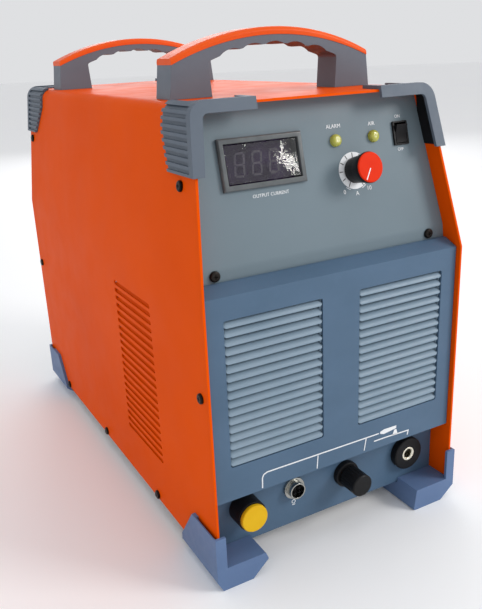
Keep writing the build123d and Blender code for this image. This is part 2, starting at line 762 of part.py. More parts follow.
def make_torch_connector():
    """Torch outlet: a threaded sleeve through the panel, and its pull-off cap."""
    face = front_plane(TORCH_AXIS, CONNECTOR_FACE)
    sleeve = (
        (8.0, 18),
        (14, 18),
        (14, 0),
        (10, 0),
        (10, -24),
        (4.0, -24),
        (4.0, -6),
        (8.0, -6),
    )
    spun("torch_connector_body", face, sleeve)
    cap = ((0, 3), (7.7, 3), (7.7, 18.4), (12.8, 18.4), (12.8, 21.8), (12.0, 22.6), (0, 22.6))
    spun("torch_connector_cap", face, cap)


def make_trigger_socket():
    """Trigger socket: a flanged metal shell and an insert with four pins."""
    face = front_plane(TRIGGER_AXIS, CONNECTOR_FACE)
    shell = (
        (6.7, 8.5),
        (8.0, 8.5),
        (8.0, 2.6),
        (10.6, 2.6),
        (10.6, 0),
        (8.0, 0),
        (8.0, -10),
        (6.7, -10),
    )
    spun("trigger_socket_shell", face, shell)
    with BuildPart() as insert:
        with BuildSketch(face.offset(-12)):
            Circle(6.6)
        extrude(amount=14)
        with BuildSketch(face.offset(2)):
            with PolarLocations(3.4, 4, start_angle=45):
                Circle(0.9)
        extrude(amount=5)
    save(insert, "trigger_socket_insert")


def make_pilot_terminal():
    """Pilot arc terminal: insulator, stud, captive washer and a fluted screw knob."""
    face = front_plane(PILOT_AXIS, CONNECTOR_FACE)
    base = ((3.1, 6), (12.2, 6), (13.0, 5), (13.0, 0), (5.0, 0), (5.0, -8), (3.1, -8))
    spun("pilot_terminal_base", face, base)
    stud = ((0, -22), (3.0, -22), (3.0, 22), (0, 22))
    spun("pilot_terminal_stud", face, stud)
    washer = ((3.08, 6.3), (8.5, 6.3), (8.5, 7.3), (3.08, 7.3))
    spun("pilot_terminal_washer", face, washer)
    with BuildPart() as knob:
        with BuildSketch(face.offset(7.4)):
            Circle(10.9)
        extrude(amount=21)
        chamfer(knob.edges().filter_by(GeomType.CIRCLE), 1.0)
        with BuildSketch(face.offset(7.4)):
            with PolarLocations(11.4, 20):
                Circle(1.0)
        extrude(amount=16, mode=Mode.SUBTRACT)
        with BuildSketch(face.offset(7.4)):
            Circle(3.08)
        extrude(amount=15.2, mode=Mode.SUBTRACT)
    save(knob, "pilot_terminal_knob")


def make_work_socket():
    """Work lead socket: an insulating body around a brass contact with a blind bore."""
    face = front_plane(WORK_AXIS, CONNECTOR_FACE)
    body = (
        (7.4, 7.5),
        (16.0, 7.5),
        (17.0, 6.5),
        (17.0, 0),
        (12.0, 0),
        (12.0, -22),
        (7.4, -22),
    )
    spun("work_socket_body", face, body)
    contact = (
        (4.55, 6.0),
        (5.3, 7.0),
        (7.2, 7.0),
        (7.2, -26),
        (0, -26),
        (0, -22),
        (4.55, -22),
    )
    spun("work_socket_contact", face, contact)


def make_fan():
    """Cooling fan inside the rear panel, its rotor, and the guard outside."""
    inner = rear_plane(FAN_CENTRE, REAR_INNER - FIT_GAP)
    with BuildPart() as frame:
        with BuildSketch(inner):
            RectangleRounded(FAN_SIZE, FAN_SIZE, 8)
            Circle(FAN_BORE, mode=Mode.SUBTRACT)
            with GridLocations(FAN_SCREW_PITCH, FAN_SCREW_PITCH, 2, 2):
                Circle(2.2, mode=Mode.SUBTRACT)
        extrude(amount=-FAN_DEPTH)
        with BuildSketch(inner.offset(-FAN_DEPTH)):
            Circle(26)
            with PolarLocations(48, 4, start_angle=45):
                Rectangle(46, 7)
        extrude(amount=4)
        with BuildSketch(inner.offset(-FAN_DEPTH)):
            Circle(3.05)
        extrude(amount=6, mode=Mode.SUBTRACT)
    save(frame, "fan_frame")
    with BuildPart() as rotor:
        with BuildSketch(inner.offset(-4)):
            Circle(25)
        extrude(amount=-(FAN_DEPTH - 9))
        with BuildSketch(inner.offset(-(FAN_DEPTH - 5))):
            Circle(3.0)
        extrude(amount=-4.5)
        blade_half = 12.0
        for index in range(7):
            spoke = Plane(inner.location * Rotation(0, 0, index * 360 / 7))
            with BuildSketch(Plane(spoke.origin + spoke.x_dir * 23 - spoke.z_dir * 18,
                                   x_dir=spoke.y_dir, z_dir=spoke.x_dir)):
                with Locations(Rotation(0, 0, 35)):
                    Rectangle(blade_half * 2.4, 2.2)
            extrude(amount=44.0)
        with BuildSketch(inner):
            Circle(FAN_BORE - 2.5)
        extrude(amount=-FAN_DEPTH, both=True, mode=Mode.INTERSECT)
    save(rotor, "fan_rotor")
    outer = rear_plane(FAN_CENTRE, REAR_FACE)
    ring_step = 12.0
    ring_count = 6
    with BuildPart() as guard:
        with BuildSketch(outer.offset(3)):
            for index in reversed(range(ring_count)):
                radius = ring_step * (index + 1)
                Circle(radius + 1)
                Circle(radius - 1, mode=Mode.SUBTRACT)
        extrude(amount=2)
        with BuildSketch(outer.offset(1.2)):
            for angle in (45, 135):
                with Locations(Rotation(0, 0, angle)):
                    Rectangle(FAN_SCREW_PITCH * 1.4142, 3)
        extrude(amount=1.9)
        with BuildSketch(outer):
            with GridLocations(FAN_SCREW_PITCH, FAN_SCREW_PITCH, 2, 2):
                Circle(5)
        extrude(amount=3.1)
        with BuildSketch(outer):
            with GridLocations(FAN_SCREW_PITCH, FAN_SCREW_PITCH, 2, 2):
                Circle(2.2)
        extrude(amount=4, mode=Mode.SUBTRACT)
    save(guard, "fan_guard")


def make_breaker():
    """Main breaker through the rear panel, with a tipping toggle in its front slot."""
    face = rear_plane(BREAKER_CENTRE, REAR_FACE)
    with BuildPart() as body:
        with BuildSketch(face):
            RectangleRounded(56, 80, 2)
        extrude(amount=5)
        with BuildSketch(face):
            Rectangle(50, 72)
        extrude(amount=-60)
        with BuildSketch(face.offset(5)):
            Rectangle(33, 24)
        extrude(amount=-22, mode=Mode.SUBTRACT)
    save(body, "breaker_body")
    pivot = face.offset(-5)
    across = Plane(origin=pivot.origin, x_dir=pivot.y_dir, z_dir=pivot.x_dir)
    with BuildPart() as toggle:
        with BuildSketch(across):
            Circle(9)
            with Locations(Rotation(0, 0, TOGGLE_TILT)):
                Polygon((-3.2, 0), (3.2, 0), (2.2, 23), (-2.2, 23), align=None)
        extrude(amount=15.5, both=True)
    save(toggle, "breaker_toggle")


def make_supply_entries():
    """Mains cable gland with its clamping nut, and the compressed air inlet."""
    face = rear_plane(GLAND_AXIS, REAR_FACE)
    gland = (
        (CABLE_RADIUS, 10),
        (10.5, 10),
        (10.5, 7),
        (14.5, 7),
        (14.5, 0),
        (10.0, 0),
        (10.0, -3),
        (CABLE_RADIUS, -3),
    )
    nut = ((CABLE_RADIUS, 10.2), (13.5, 10.2), (13.5, 17), (10.5, 21), (CABLE_RADIUS, 21))
    spun("cable_gland_body", face, gland)
    spun("cable_gland_nut", face, nut)
    inlet = rear_plane(INLET_AXIS, REAR_FACE)
    with BuildPart() as fitting:
        with BuildSketch(inlet):
            RegularPolygon(10.5, 6)
        extrude(amount=8)
        with BuildSketch(inlet.offset(8)):
            Circle(8.5)
        extrude(amount=8)
        with BuildSketch(inlet):
            Circle(8)
        extrude(amount=-22)
        with BuildSketch(inlet.offset(16)):
            Circle(INLET_RADIUS)
        extrude(amount=-14, mode=Mode.SUBTRACT)
        with BuildSketch(inlet.offset(2)):
            Circle(3)
        extrude(amount=-24, mode=Mode.SUBTRACT)
    save(fitting, "air_inlet_fitting")


VALVE_FRONT = REAR - 90.0
TUBE_ROUTE = (
    (60, VALVE_FRONT, 290),
    (60, VALVE_FRONT - 60, 290),
    (10, VALVE_FRONT - 130, 262),
    (-60, VALVE_FRONT - 180, 245),
    (-92, FRONT + 170, 228),
    (-92, FRONT + 105, 180),
    (-92, FRONT + 88, 110),
    (-92, FRONT + 78, 66),
    (-92, FRONT + 51, 55),
)


def make_air_line():
    """Solenoid valve behind the inlet, and the tube from it to the torch outlet."""
    with BuildPart() as valve:
        with Locations((60, REAR - 44.2, 290)):
            Box(30, 92 - 2 * 23.1, 30, align=(Align.CENTER, Align.MAX, Align.CENTER))
        with Locations((60, REAR - 67, 305)):
            Cylinder(13, 30, align=BOTTOM)
    save(valve, "solenoid_valve")
    runs = [Vector(b) - Vector(a) for a, b in zip(TUBE_ROUTE, TUBE_ROUTE[1:])]
    radii = []
    for before, after in zip(runs, runs[1:]):
        turn = radians(before.get_angle(after))
        radii.append(0.45 * min(before.length, after.length) / tan(turn / 2))
    with BuildPart() as tube:
        with BuildLine() as route:
            FilletPolyline(*TUBE_ROUTE, radius=radii)
        with BuildSketch(Plane(origin=route.line @ 0, z_dir=route.line % 0)):
            Circle(4.0)
            Circle(2.5, mode=Mode.SUBTRACT)
        sweep(path=route.line)
    save(tube, "air_tube")


def make_power_stage():
    """Heatsinks with switching modules, and capacitors standing on the power board."""
    floor = CASE_BOTTOM + 2.0
    sink_height = 78.0
    sink_length = 230.0
    fin_count = 10
    centre_y = 30.0
    with BuildPart() as sinks:
        for side in (-1, 1):
            with Locations((side * 66, centre_y, floor + sink_height - 9)):
                Box(92, sink_length, 9, align=BOTTOM)
            with Locations((side * 66, centre_y, floor)):
                with GridLocations(9.9, 1, fin_count, 1):
                    Box(2.6, sink_length, sink_height - 8, align=BOTTOM)
    save(sinks, "heatsinks")
    deck = floor + sink_height
    with BuildPart() as modules:
        with Locations((0, centre_y, deck)):
            with GridLocations(132, 105, 2, 2):
                Box(62, 92, 22, align=BOTTOM)
    save(modules, "power_modules")
    with BuildPart() as capacitors:
        with Locations((0, centre_y, deck + 23.6)):
            with GridLocations(52, 62, 3, 3):
                Cylinder(17.5, 52, align=BOTTOM)
    save(capacitors, "bus_capacitors")


def make_magnetics():
    """Main transformer core and winding, and the output choke in front of the heatsinks."""
    floor = CASE_BOTTOM + 2.0
    y = FRONT + 112
    with BuildPart() as core:
        with Locations((-5, y, floor)):
            Box(92, 56, 84, align=BOTTOM)
            with Locations((0, 0, 16)):
                with GridLocations(46, 1, 2, 1):
                    Box(22, 58, 52, align=BOTTOM, mode=Mode.SUBTRACT)
    save(core, "transformer_core")
    with BuildPart() as winding:
        with Locations((-5, y, floor + 17)):
            Box(66, 74, 50, align=BOTTOM)
        fillet(winding.edges().filter_by(Axis.Z), 3)
        with Locations((-5, y, floor + 17)):
            Box(24.4, 56.4, 50, align=BOTTOM, mode=Mode.SUBTRACT)
    save(winding, "transformer_winding")
    with BuildPart() as choke:
        with BuildSketch(Plane.XY.offset(floor)):
            with Locations((84, y)):
                Circle(34)
                Circle(15, mode=Mode.SUBTRACT)
        extrude(amount=40)
        fillet(choke.edges().filter_by(GeomType.CIRCLE), 5)
    save(choke, "output_choke")


def make_circuit_boards():
    """Power board over the modules, and a control board behind the control panel."""
    with BuildPart() as boards:
        with Locations((0, 30.0, CASE_BOTTOM + 102.0)):
            Box(216, 230, 1.6, align=BOTTOM)
        with BuildSketch(panel_plane((0, 330), -46)):
            Rectangle(190, 100)
        extrude(amount=-1.6)
        with BuildSketch(panel_plane((0, 330), -46)):
            with GridLocations(42, 44, 4, 2):
                Rectangle(20, 12)
        extrude(amount=6)
    save(boards, "circuit_boards")


make_outer_cover()
make_base_pan()
make_rear_panel()
make_control_panel()
make_front_bezel()
make_louvre_inserts()
make_connector_panel()
for end_name, is_front in (("front", True), ("rear", False)):
    make_guard(f"guard_{end_name}_left", -1, is_front)
    make_guard(f"guard_{end_name}_right", 1, is_front)
    make_handle(f"handle_{end_name}_body", HANDLE_OFFSETS[end_name])
    make_handle_cap(f"handle_{end_name}_cap", HANDLE_OFFSETS[end_name])
make_foot("foot_front_left", -1, -1, (5, 10), (14.5, 15))
make_foot("foot_front_right", 1, -1, (16, 13), (1, 1))
make_foot("foot_rear_right", 1, 1, (5, 10), (14.5, 15))
make_foot("foot_rear_left", -1, 1, (16, 13), (1, 1))
screw_group("cover_screws", COVER_SEATS, COVER_SCREW_HEAD, 2.4, COVER_SCREW_SHANK, 8)
handle_seats = [Plane(origin=(x, y, CASE_TOP - SHEET), z_dir=(0, 0, -1)) for x, y in HANDLE_SCREW_SPOTS]
screw_group("handle_screws", handle_seats, 5.0, 3.2, 2.9, 15)
foot_seats = [Plane(origin=(x, y, 9), z_dir=(0, 0, -1)) for x, y in FOOT_SCREW_SPOTS]
screw_group("foot_screws", foot_seats, 4.5, 3.0, 2.0, 12)
strip_face = FRONT + PANEL_RECESS + FRONT_SLOPE * (PANEL_STRIP_TOP - KNEE)
panel_seats = [front_plane(spot, strip_face) for spot in PANEL_SCREWS]
panel_seats += [rear_plane(spot, REAR_FACE + 3.1) for spot in FAN_SCREW_SPOTS]
screw_group("panel_screws", panel_seats, 4.5, 2.6, 2.0, 12)
make_meter()
make_current_control()
make_rocker()
make_indicator_lenses()
make_torch_connector()
make_trigger_socket()
make_pilot_terminal()
make_work_socket()
make_fan()
make_breaker()
make_supply_entries()
make_air_line()
make_power_stage()
make_magnetics()
make_circuit_boards()
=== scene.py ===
import json
import math
import random

import bmesh
import bpy
from mathutils import Matrix, Vector


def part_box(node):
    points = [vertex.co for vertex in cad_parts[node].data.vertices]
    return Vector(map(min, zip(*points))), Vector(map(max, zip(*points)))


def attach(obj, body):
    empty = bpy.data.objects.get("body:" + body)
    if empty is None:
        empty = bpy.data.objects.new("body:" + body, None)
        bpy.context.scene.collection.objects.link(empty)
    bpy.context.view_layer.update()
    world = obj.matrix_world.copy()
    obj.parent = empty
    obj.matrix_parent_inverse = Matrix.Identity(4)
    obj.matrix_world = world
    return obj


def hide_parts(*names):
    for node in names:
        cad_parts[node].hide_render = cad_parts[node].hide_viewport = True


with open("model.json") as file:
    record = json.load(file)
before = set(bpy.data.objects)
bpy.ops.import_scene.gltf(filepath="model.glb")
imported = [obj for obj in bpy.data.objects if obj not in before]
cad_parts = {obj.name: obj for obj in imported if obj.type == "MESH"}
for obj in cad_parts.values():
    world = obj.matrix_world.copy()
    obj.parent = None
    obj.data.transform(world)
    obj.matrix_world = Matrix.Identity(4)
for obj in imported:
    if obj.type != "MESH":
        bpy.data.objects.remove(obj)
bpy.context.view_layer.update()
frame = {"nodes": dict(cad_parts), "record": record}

NODES = frame["nodes"]
MM = 0.001
random.seed(7)

# ---------------------------------------------------------------- camera

IMAGE_HEIGHT = 609
FOCAL_PIXELS = 724.86
SENSOR = 36.0
CAMERA_AZIMUTH = math.radians(-28.22)
CAMERA_ELEVATION = math.radians(19.47)
CAMERA_ROLL = math.radians(-2.65)
CAMERA_DISTANCE = 791.17 * MM
CAMERA_TARGET = Vector((7.01, -60.26, 175.81)) * MM


def make_camera():
    """Camera at the photograph's angle, with a slight roll."""
    flat = math.cos(CAMERA_ELEVATION)
    back = Vector((
        math.sin(CAMERA_AZIMUTH) * flat,
        -math.cos(CAMERA_AZIMUTH) * flat,
        math.sin(CAMERA_ELEVATION),
    ))
    level = Vector((0, 0, 1)).cross(back).normalized()
    up = back.cross(level)
    turn = Matrix.Rotation(CAMERA_ROLL, 3, back)
    right = turn @ level
    up = turn @ up
    camera = bpy.data.objects.new("camera", bpy.data.cameras.new("camera"))
    camera.data.sensor_width = SENSOR
    camera.data.lens = FOCAL_PIXELS / IMAGE_HEIGHT * SENSOR
    camera.data.clip_start = 0.02
    pose = Matrix((right, up, back)).transposed().to_4x4()
    pose.translation = CAMERA_TARGET + back * CAMERA_DISTANCE
    camera.matrix_world = pose
    bpy.context.scene.collection.objects.link(camera)
    bpy.context.scene.camera = camera


# ---------------------------------------------------------------- materials


class Shader:
    """A node material under construction, with short calls for its usual nodes."""

    def __init__(self, name):
        self.material = bpy.data.materials.new(name)
        self.material.use_nodes = True
        self.tree = self.material.node_tree
        self.surface = self.tree.nodes["Principled BSDF"]
        self.place = self.add("ShaderNodeTexCoord").outputs["Object"]

    def add(self, kind, **inputs):
        node = self.tree.nodes.new(kind)
        for key, value in inputs.items():
            node.inputs[key].default_value = value
        return node

    def link(self, source, target):
        self.tree.links.new(source, target)

    def set(self, **values):
        """Constant values, straight on the shader's sockets."""
        for key, value in values.items():
            self.surface.inputs[key.replace("_", " ")].default_value = value

    def noise(self, scale, detail=3.0, roughness=0.5, stretch=None):
        node = self.add("ShaderNodeTexNoise", Scale=scale, Detail=detail, Roughness=roughness)
        source = self.place
        if stretch:
            mapping = self.add("ShaderNodeMapping")
            mapping.inputs["Scale"].default_value = stretch
            self.link(self.place, mapping.inputs["Vector"])
            source = mapping.outputs["Vector"]
        self.link(source, node.inputs["Vector"])
        return node.outputs["Fac"]

    def ramp(self, source, stops):
        """Colour or grey ramp: stops are (position, colour) pairs."""
        node = self.add("ShaderNodeValToRGB")
        elements = node.color_ramp.elements
        while len(elements) < len(stops):
            elements.new(0.5)
        for element, (position, colour) in zip(elements, stops):
            element.position = position
            element.color = (*colour, 1.0)
        self.link(source, node.inputs["Fac"])
        return node.outputs["Color"]

    def grey(self, source, low, high, start=0.3, end=0.7):
        """The source remapped from start..end to low..high."""
        node = self.add("ShaderNodeMapRange")
        for key, value in (("From Min", start), ("From Max", end), ("To Min", low), ("To Max", high)):
            node.inputs[key].default_value = value
        self.link(source, node.inputs["Value"])
        return node.outputs["Result"]

    def blend(self, factor, first, second):
        """Colour mix of two colour sockets or constants."""
        node = self.tree.nodes.new("ShaderNodeMix")
        node.data_type = "RGBA"
        self.link(factor, node.inputs["Factor"])
        for key, value in (("A", first), ("B", second)):
            socket = [s for s in node.inputs if s.name == key and s.type == "RGBA"][0]
            if isinstance(value, bpy.types.NodeSocket):
                self.link(value, socket)
            else:
                socket.default_value = (*value, 1.0)
        return [s for s in node.outputs if s.type == "RGBA"][0]

    def bump(self, height, strength, distance, below=None):
        node = self.add("ShaderNodeBump", Strength=strength, Distance=distance)
        self.link(height, node.inputs["Height"])
        if below:
            self.link(below, node.inputs["Normal"])
        return node.outputs["Normal"]

    def finish(self, colour=None, roughness=None, normal=None):
        for key, source in (("Base Color", colour), ("Roughness", roughness), ("Normal", normal)):
            if source:
                self.link(source, self.surface.inputs[key])
        return self.material


def paint(name, dark, light, roughness, orange_peel, shine):
    """Powder coat: cloudy colour, orange-peel skin and fine speckle."""
    s = Shader(name)
    clouds = s.noise(7.0, 4.0)
    colour = s.ramp(clouds, ((0.3, dark), (0.7, light)))
    speckle = s.noise(2600.0, 2.0)
    colour = s.blend(s.grey(speckle, 0.0, 0.08, 0.5, 0.75), colour, [c * 0.5 for c in dark])
    peel = s.bump(s.noise(420.0, 2.0), 0.5, orange_peel)
    fine = s.bump(speckle, 0.25, 0.00003, peel)
    rough = s.grey(s.noise(30.0, 5.0), roughness - 0.04, roughness + 0.07)
    s.set(Specular_IOR_Level=shine)
    return s.finish(colour, rough, fine)


def moulded(name, dark, light, roughness, grain, shine=0.3):
    """Moulded plastic: spark-eroded grain, faint flow marks and rubbed patches."""
    s = Shader(name)
    flow = s.noise(16.0, 4.0, stretch=(1.0, 0.5, 1.6))
    colour = s.ramp(flow, ((0.32, dark), (0.68, light)))
    dust = s.noise(90.0, 6.0, 0.65)
    pale = [min(1.0, c * 1.25 + 0.02) for c in light]
    colour = s.blend(s.grey(dust, 0.0, 0.16, 0.55, 0.8), colour, pale)
    pits = s.noise(1500.0, 3.0, 0.6)
    normal = s.bump(pits, 0.55, grain)
    rough = s.grey(dust, roughness - 0.05, roughness + 0.1)
    s.set(Specular_IOR_Level=shine)
    return s.finish(colour, rough, normal)


def metal(name, dark, light, roughness, stretch, scratch=0.00003):
    """Worked metal: drawn scratches along one direction, tarnish and smears."""
    s = Shader(name)
    colour = s.ramp(s.noise(38.0, 5.0, 0.6), ((0.3, dark), (0.7, light)))
    lines = s.noise(900.0, 3.0, 0.6, stretch=stretch)
    rough = s.grey(lines, roughness - 0.06, roughness + 0.12)
    s.set(Metallic=1.0)
    return s.finish(colour, rough, s.bump(lines, 0.4, scratch))


def lacquer(name, dark, light, roughness, through=0.0, shine=0.5):
    """Smooth glossy plastic or lacquer, slightly wavy, with fine handling marks."""
    s = Shader(name)
    colour = s.ramp(s.noise(60.0, 3.0), ((0.3, dark), (0.7, light)))
    marks = s.noise(700.0, 4.0, 0.7, stretch=(1.0, 1.0, 0.2))
    rough = s.grey(marks, roughness, roughness + 0.12, 0.5, 0.8)
    s.set(Transmission_Weight=through, IOR=1.49, Specular_IOR_Level=shine)
    return s.finish(colour, rough, s.bump(s.noise(140.0, 2.0), 0.15, 0.00008))


def clear_film(name):
    """Clear meter window under its protective film: thin, glossy and rippled."""
    s = Shader(name)
    ripple = s.noise(75.0, 3.0, 0.55)
    streaks = s.noise(420.0, 3.0, 0.6, stretch=(0.3, 1.0, 1.0))
    normal = s.bump(streaks, 0.15, 0.00004, s.bump(ripple, 0.3, 0.0008))
    colour = s.ramp(ripple, ((0.35, (0.92, 0.93, 0.92)), (0.65, (0.98, 0.98, 0.98))))
    rough = s.grey(streaks, 0.02, 0.10)
    s.set(Transmission_Weight=1.0, IOR=1.42)
    return s.finish(colour, rough, normal)


def board(name, mask):
    """Circuit board: solder mask with tracks, pads and a faint weave."""
    s = Shader(name)
    brick = s.add("ShaderNodeTexBrick", Scale=90.0)
    brick.inputs["Mortar Size"].default_value = 0.012
    brick.inputs["Color1"].default_value = (*mask, 1.0)
    brick.inputs["Color2"].default_value = (*[c * 0.8 for c in mask], 1.0)
    brick.inputs["Mortar"].default_value = (*[min(1, c * 1.9) for c in mask], 1.0)
    s.link(s.place, brick.inputs["Vector"])
    weave = s.noise(1200.0, 2.0)
    rough = s.grey(weave, 0.3, 0.5)
    return s.finish(brick.outputs["Color"], rough, s.bump(brick.outputs["Fac"], 0.3, 0.00005))


def wound(name, dark, light):
    """Enamelled winding: close turns of round wire, seen as fine ridges."""
    s = Shader(name)
    wave = s.add("ShaderNodeTexWave", Scale=120.0, Distortion=0.4)
    wave.bands_direction = "Z"
    s.link(s.place, wave.inputs["Vector"])
    # Darker colour in the grooves between turns, where the bump is low: painted shade.
    colour = s.ramp(wave.outputs["Fac"], ((0.1, dark), (0.8, light)))
    s.set(Metallic=0.6, Coat_Weight=0.5)
    rough = s.grey(s.noise(200.0), 0.25, 0.4)
    return s.finish(colour, rough, s.bump(wave.outputs["Fac"], 0.8, 0.0006))


def floor_finish():
    """Plain pale floor with a barely visible mottle."""
    s = Shader("floor_finish")
    colour = s.ramp(s.noise(3.0, 4.0), ((0.3, (0.93, 0.93, 0.94)), (0.7, (0.94, 0.94, 0.94))))
    return s.finish(colour, s.grey(s.noise(40.0, 4.0), 0.5, 0.62))


def make_materials():
    """One material for each material slot of the record, from its maker and that maker's values."""
    recipes = {
        "cover_paint": (paint, (0.74, 0.078, 0.001), (0.80, 0.090, 0.002), 0.36, 0.00004, 0.012),
        "panel_paint": (paint, (0.145, 0.194, 0.224), (0.162, 0.212, 0.244), 0.44, 0.00005, 0.25),
        "galvanised_steel": (metal, (0.45, 0.47, 0.48), (0.62, 0.64, 0.66), 0.34, (1, 0.4, 1)),
        "bezel_plastic": (moulded, (0.065, 0.120, 0.192), (0.075, 0.134, 0.214), 0.46, 0.00005),
        # Lighter than bezel_plastic: painted light, standing for the light falling on the slats' upward
        # faces.
        "louvre_plastic": (moulded, (0.19, 0.27, 0.345), (0.225, 0.305, 0.38), 0.40, 0.00004),
        "guard_plastic": (moulded, (0.090, 0.114, 0.148), (0.106, 0.132, 0.168), 0.48, 0.00006),
        "foot_plastic": (moulded, (0.096, 0.160, 0.300), (0.112, 0.182, 0.335), 0.46, 0.00006),
        "handle_plastic": (moulded, (0.118, 0.138, 0.170), (0.134, 0.156, 0.190), 0.46, 0.00006),
        "handle_cap_plastic": (moulded, (0.74, 0.082, 0.004), (0.80, 0.096, 0.008), 0.36, 0.00003, 0.14),
        "black_steel": (metal, (0.010, 0.009, 0.009), (0.030, 0.026, 0.024), 0.38, (1, 1, 1)),
        "zinc_steel": (metal, (0.52, 0.51, 0.46), (0.70, 0.70, 0.68), 0.30, (1, 1, 0.3)),
        "meter_frame_plastic": (lacquer, (0.085, 0.094, 0.098), (0.13, 0.142, 0.148), 0.12),
        "display_plastic": (lacquer, (0.014, 0.005, 0.030), (0.030, 0.010, 0.060), 0.22, 0.0, 0.08),
        "clear_window": (clear_film,),
        "black_plastic": (moulded, (0.006, 0.006, 0.007), (0.011, 0.011, 0.012), 0.40, 0.00004, 0.14),
        "knob_cap_plastic": (lacquer, (0.66, 0.022, 0.003), (0.73, 0.032, 0.005), 0.38, 0.0, 0.06),
        "lens_plastic": (lacquer, (0.52, 0.52, 0.05), (0.74, 0.74, 0.18), 0.10, 0.35),
        "outlet_cap_plastic": (moulded, (0.68, 0.36, 0.002), (0.74, 0.44, 0.008), 0.42, 0.00006, 0.15),
        "nickel_plate": (metal, (0.30, 0.30, 0.28), (0.46, 0.46, 0.43), 0.20, (1, 1, 0.4), 0.00001),
        "brass": (metal, (0.72, 0.68, 0.56), (0.90, 0.87, 0.74), 0.24, (1, 0.4, 1)),
        "valve_brass": (metal, (0.52, 0.37, 0.14), (0.66, 0.50, 0.22), 0.36, (1, 1, 1)),
        "fan_plastic": (moulded, (0.010, 0.010, 0.011), (0.018, 0.018, 0.020), 0.40, 0.00004),
        "breaker_plastic": (moulded, (0.60, 0.60, 0.58), (0.68, 0.68, 0.66), 0.42, 0.00005),
        "hose_rubber": (moulded, (0.012, 0.03, 0.11), (0.02, 0.045, 0.15), 0.30, 0.00003),
        "aluminium": (metal, (0.62, 0.63, 0.65), (0.74, 0.75, 0.77), 0.30, (1, 0.1, 1)),
        "module_plastic": (moulded, (0.03, 0.03, 0.035), (0.05, 0.05, 0.055), 0.42, 0.00005),
        "circuit_board": (board, (0.012, 0.12, 0.045)),
        "capacitor_sleeve": (lacquer, (0.012, 0.02, 0.08), (0.02, 0.035, 0.12), 0.14),
        "ferrite": (moulded, (0.025, 0.025, 0.028), (0.04, 0.04, 0.043), 0.55, 0.00010),
        "enamelled_copper": (wound, (0.20, 0.05, 0.015), (0.66, 0.24, 0.08)),
    }
    return {slot: maker(slot, *values) for slot, (maker, *values) in recipes.items()}


MATERIALS = make_materials()
SLOTS = {row["node"]: row["material_slot"] for row in frame["record"]["subparts"]}
BODIES = {
    node: body
    for body, members in frame["record"]["behaviour"]["bodies"].items()
    for node in members
}


def mark(name, colour, roughness=0.45):
    """Screen-printed or filled mark: thin ink with worn speckle."""
    s = Shader(name)
    ink = s.noise(1400.0, 4.0, 0.7)
    tone = s.ramp(ink, ((0.25, [c * 0.82 for c in colour]), (0.6, colour)))
    return s.finish(tone, s.grey(ink, roughness - 0.08, roughness + 0.1), s.bump(ink, 0.3, 0.00002))


WHITE_INK = mark("white_ink", (0.82, 0.84, 0.86))
BLACK_INK = mark("black_ink", (0.02, 0.02, 0.022))
DIM_SEGMENT = mark("dim_segment", (0.035, 0.016, 0.060), 0.3)


# ---------------------------------------------------------------- building

FLAT_ANGLE = math.radians(0.4)
# This node keeps its triangles: merged into one face, its wall would close some of the vent's slots.
SLOTTED_NODE = "outer_cover"


def publish(name, work, material, body, smooth=True):
    """Turn a bmesh into a piece that rides on a body."""
    mesh = bpy.data.meshes.new(name)
    work.to_mesh(mesh)
    work.free()
    for polygon in mesh.polygons:
        polygon.use_smooth = smooth
    mesh.materials.append(material)
    piece = bpy.data.objects.new(name, mesh)
    bpy.context.scene.collection.objects.link(piece)
    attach(piece, body)
    return piece


def soften(piece, width, segments=2, angle=30):
    """Rounded edges with flat faces kept flat."""
    bevel = piece.modifiers.new("rounding", "BEVEL")
    bevel.width = width
    bevel.segments = segments
    bevel.limit_method = "ANGLE"
    bevel.angle_limit = math.radians(angle)
    bevel.miter_outer = "MITER_ARC"
    bevel.use_clamp_overlap = True
    normals = piece.modifiers.new("normals", "WEIGHTED_NORMAL")
    normals.keep_sharp = False
    normals.weight = 60


def dress(node, width, segments=2):
    """A finished piece in place of a CAD node: its own shape with merged faces and rounded edges."""
    work = bmesh.new()
    work.from_mesh(NODES[node].data)
    bmesh.ops.remove_doubles(work, verts=work.verts, dist=1e-6)
    if node != SLOTTED_NODE:
        bmesh.ops.dissolve_limit(work, angle_limit=FLAT_ANGLE, verts=work.verts, edges=work.edges)
    slot = SLOTS[node]
    piece = publish(node + "_finished", work, MATERIALS[slot], BODIES[node])
    soften(piece, width, segments)
    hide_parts(node)
    return piece


def finish_nodes():
    """Every CAD node that stays gets its slot's material; the visible ones get rounded edges."""
    for node, slot in SLOTS.items():
        target = NODES[node]
        for place in target.material_slots:
            place.link = "OBJECT"
            place.material = MATERIALS[slot]
    rounded = {
        "outer_cover": 0.5,
        "control_panel": 0.5,
        "rear_panel": 0.4,
        "connector_panel": 0.3,
        "front_bezel": 0.8,
        "meter_housing": 0.4,
        "rocker_housing": 0.4,
        "rocker_button": 0.5,
        "knob_body": 0.7,
        "knob_cap": 0.9,
        "torch_connector_body": 0.7,
        "torch_connector_cap": 0.8,
        "trigger_socket_shell": 0.3,
        "pilot_terminal_base": 0.5,
        "pilot_terminal_knob": 0.35,
        "work_socket_body": 0.8,
        "work_socket_contact": 0.3,
        "fan_guard": 0.6,
        "fan_frame": 0.6,
        "breaker_body": 0.8,
        "breaker_toggle": 0.8,
        "cable_gland_body": 0.6,
        "cable_gland_nut": 0.8,
        "air_inlet_fitting": 0.4,
        "cover_screws": 0.25,
        "panel_screws": 0.25,
    }
    for node, width in rounded.items():
        dress(node, width * MM)
    for end in ("front", "rear"):
        for side in ("left", "right"):
            dress(f"guard_{end}_{side}", 0.9 * MM, 3)
            dress(f"foot_{end}_{side}", 1.6 * MM, 3)
        dress(f"handle_{end}_body", 2.2 * MM, 3)
        dress(f"handle_{end}_cap", 2.6 * MM, 4)


# ---------------------------------------------------------------- markings and fine parts


def centre_of(node):
    low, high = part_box(node)
    return (Vector(low) + Vector(high)) / 2


